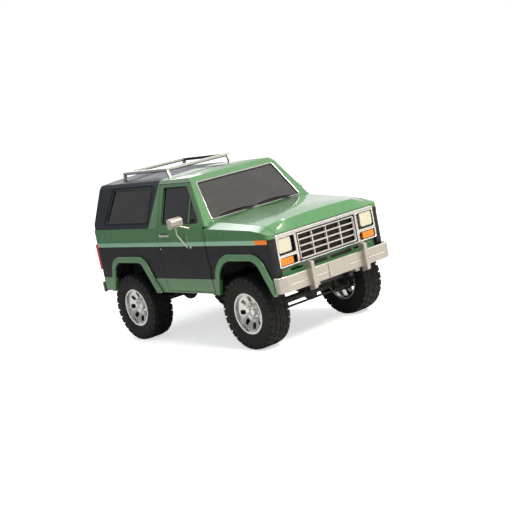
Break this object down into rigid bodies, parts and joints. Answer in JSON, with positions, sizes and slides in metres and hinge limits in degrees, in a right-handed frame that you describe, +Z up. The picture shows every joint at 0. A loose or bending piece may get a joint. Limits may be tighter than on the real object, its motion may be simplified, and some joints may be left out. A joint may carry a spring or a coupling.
{
  "type": "lifted off-road four-wheel-drive vehicle",
  "caption": "Boxy lifted two-door off-road wagon with a separate dark hardtop, roof rack, chrome bumpers and large tyres; its doors, hood, tailgate, steering and wheels move.",
  "frame": {"origin": "on the ground below the middle of the overall length, midway between the sides", "axes": "+X to the front, +Y to the car's left, +Z up"},
  "size_m": [4.22, 2.392, 2.41],
  "materials": {
    "green_paint": "glossy clear-coated green with a black band and a pale stripe",
    "dark_top": "moulded hardtop in semi-gloss slate black",
    "black_paint": "semi-gloss black chassis paint",
    "chrome": "polished chrome plate",
    "rim_metal": "bright deep-dish steel rim",
    "tyre_rubber": "matt black rubber",
    "clear_glass": "flat safety glass",
    "dark_glass": "smoked side glass",
    "lamp_lens": "ribbed cream-white headlamp lens",
    "amber_lens": "ribbed amber lens",
    "red_lens": "ribbed red lens",
    "grille_metal": "satin silver paint",
    "cast_metal": "bare and painted castings",
    "spring_steel": "black spring steel",
    "cabin_plastic": "grained black vinyl and plastic",
    "seat_cloth": "dark woven seat cloth"
  },
  "bodies": {
    "chassis": {"body_shell": "green_paint", "tail_lamps": "red_lens", "cab_top": "green_paint", "hardtop": "dark_top", "windscreen": "clear_glass", "side_glass": "dark_glass", "rear_glass": "dark_glass", "roof_rack": "black_paint", "fender_left": "green_paint", "fender_right": "green_paint", "cowl": "green_paint", "grille_panel": "grille_metal", "grille_bars": "grille_metal", "headlamps": "lamp_lens", "marker_lamps": "amber_lens", "front_valance": "green_paint", "front_bumper": "chrome", "rear_bumper": "chrome", "inner_panels": "black_paint", "floor_pan": "black_paint", "radiator": "black_paint", "frame_rails": "black_paint", "front_axle": "cast_metal", "rear_axle": "cast_metal", "coil_springs": "spring_steel", "leaf_springs": "spring_steel", "shock_absorbers": "spring_steel", "powertrain": "cast_metal", "drive_shafts": "spring_steel", "fuel_tank": "black_paint", "exhaust": "cast_metal", "dashboard": "cabin_plastic", "steering_column": "cabin_plastic", "seats": "seat_cloth", "wipers": "black_paint"},
    "door_left": {"door_left": "green_paint", "door_glass_left": "clear_glass", "mirror_left": "chrome"},
    "door_right": {"door_right": "green_paint", "door_glass_right": "clear_glass", "mirror_right": "chrome"},
    "hood": {"hood": "green_paint"},
    "tailgate": {"tailgate": "green_paint"},
    "knuckle_left": {"knuckle_left": "cast_metal"},
    "knuckle_right": {"knuckle_right": "cast_metal"},
    "tie_rod": {"tie_rod": "spring_steel"},
    "steering_wheel": {"steering_wheel": "cabin_plastic"},
    "wheel_front_left": {"tyre_front_left": "tyre_rubber", "rim_front_left": "rim_metal"},
    "wheel_front_right": {"tyre_front_right": "tyre_rubber", "rim_front_right": "rim_metal"},
    "wheel_rear_left": {"tyre_rear_left": "tyre_rubber", "rim_rear_left": "rim_metal"},
    "wheel_rear_right": {"tyre_rear_right": "tyre_rubber", "rim_rear_right": "rim_metal"}
  },
  "joints": [
    {"name": "steer_left", "type": "hinge", "parent": "chassis", "child": "knuckle_left", "pos_m": [1.28, 0.655, 0.484], "axis": [0, 0, 1], "range_deg": [-27, 27]},
    {"name": "steer_right", "type": "hinge", "parent": "chassis", "child": "knuckle_right", "pos_m": [1.28, -0.655, 0.484], "axis": [0, 0, 1], "range_deg": [-27, 27]},
    {"name": "tie_rod_slide", "type": "slide", "parent": "chassis", "child": "tie_rod", "axis": [0, 1, 0], "range_m": [-0.086, 0.086]},
    {"name": "steering_wheel_turn", "type": "hinge", "parent": "chassis", "child": "steering_wheel", "pos_m": [0.285, 0.4, 1.5], "axis": [-0.8455, 0, 0.534], "range_deg": [-410, 410]},
    {"name": "door_left_swing", "type": "hinge", "parent": "chassis", "child": "door_left", "pos_m": [0.655, 0.97, 1.29], "axis": [0, 0, -1], "range_deg": [0, 65]},
    {"name": "door_right_swing", "type": "hinge", "parent": "chassis", "child": "door_right", "pos_m": [0.655, -0.97, 1.29], "axis": [0, 0, 1], "range_deg": [0, 65]},
    {"name": "hood_lift", "type": "hinge", "parent": "chassis", "child": "hood", "pos_m": [0.739, 0, 1.668], "axis": [0, -1, 0], "range_deg": [0, 50]},
    {"name": "tailgate_drop", "type": "hinge", "parent": "chassis", "child": "tailgate", "pos_m": [-2.025, 0, 0.887], "axis": [0, -1, 0], "range_deg": [0, 90]},
    {"name": "spin_front_left", "type": "hinge", "parent": "knuckle_left", "child": "wheel_front_left", "pos_m": [1.28, 0.845, 0.484], "axis": [0, 1, 0], "continuous": true},
    {"name": "spin_front_right", "type": "hinge", "parent": "knuckle_right", "child": "wheel_front_right", "pos_m": [1.28, -0.845, 0.484], "axis": [0, 1, 0], "continuous": true},
    {"name": "spin_rear_left", "type": "hinge", "parent": "chassis", "child": "wheel_rear_left", "pos_m": [-1.28, 0.845, 0.484], "axis": [0, 1, 0], "continuous": true},
    {"name": "spin_rear_right", "type": "hinge", "parent": "chassis", "child": "wheel_rear_right", "pos_m": [-1.28, -0.845, 0.484], "axis": [0, 1, 0], "continuous": true}
  ],
  "couplings": [
    {"joint": "steer_right", "follows": "steer_left", "ratio": 1},
    {"joint": "tie_rod_slide", "follows": "steer_left", "m_per_rad": 0.18},
    {"joint": "steering_wheel_turn", "follows": "steer_left", "ratio": 15}
  ]
}
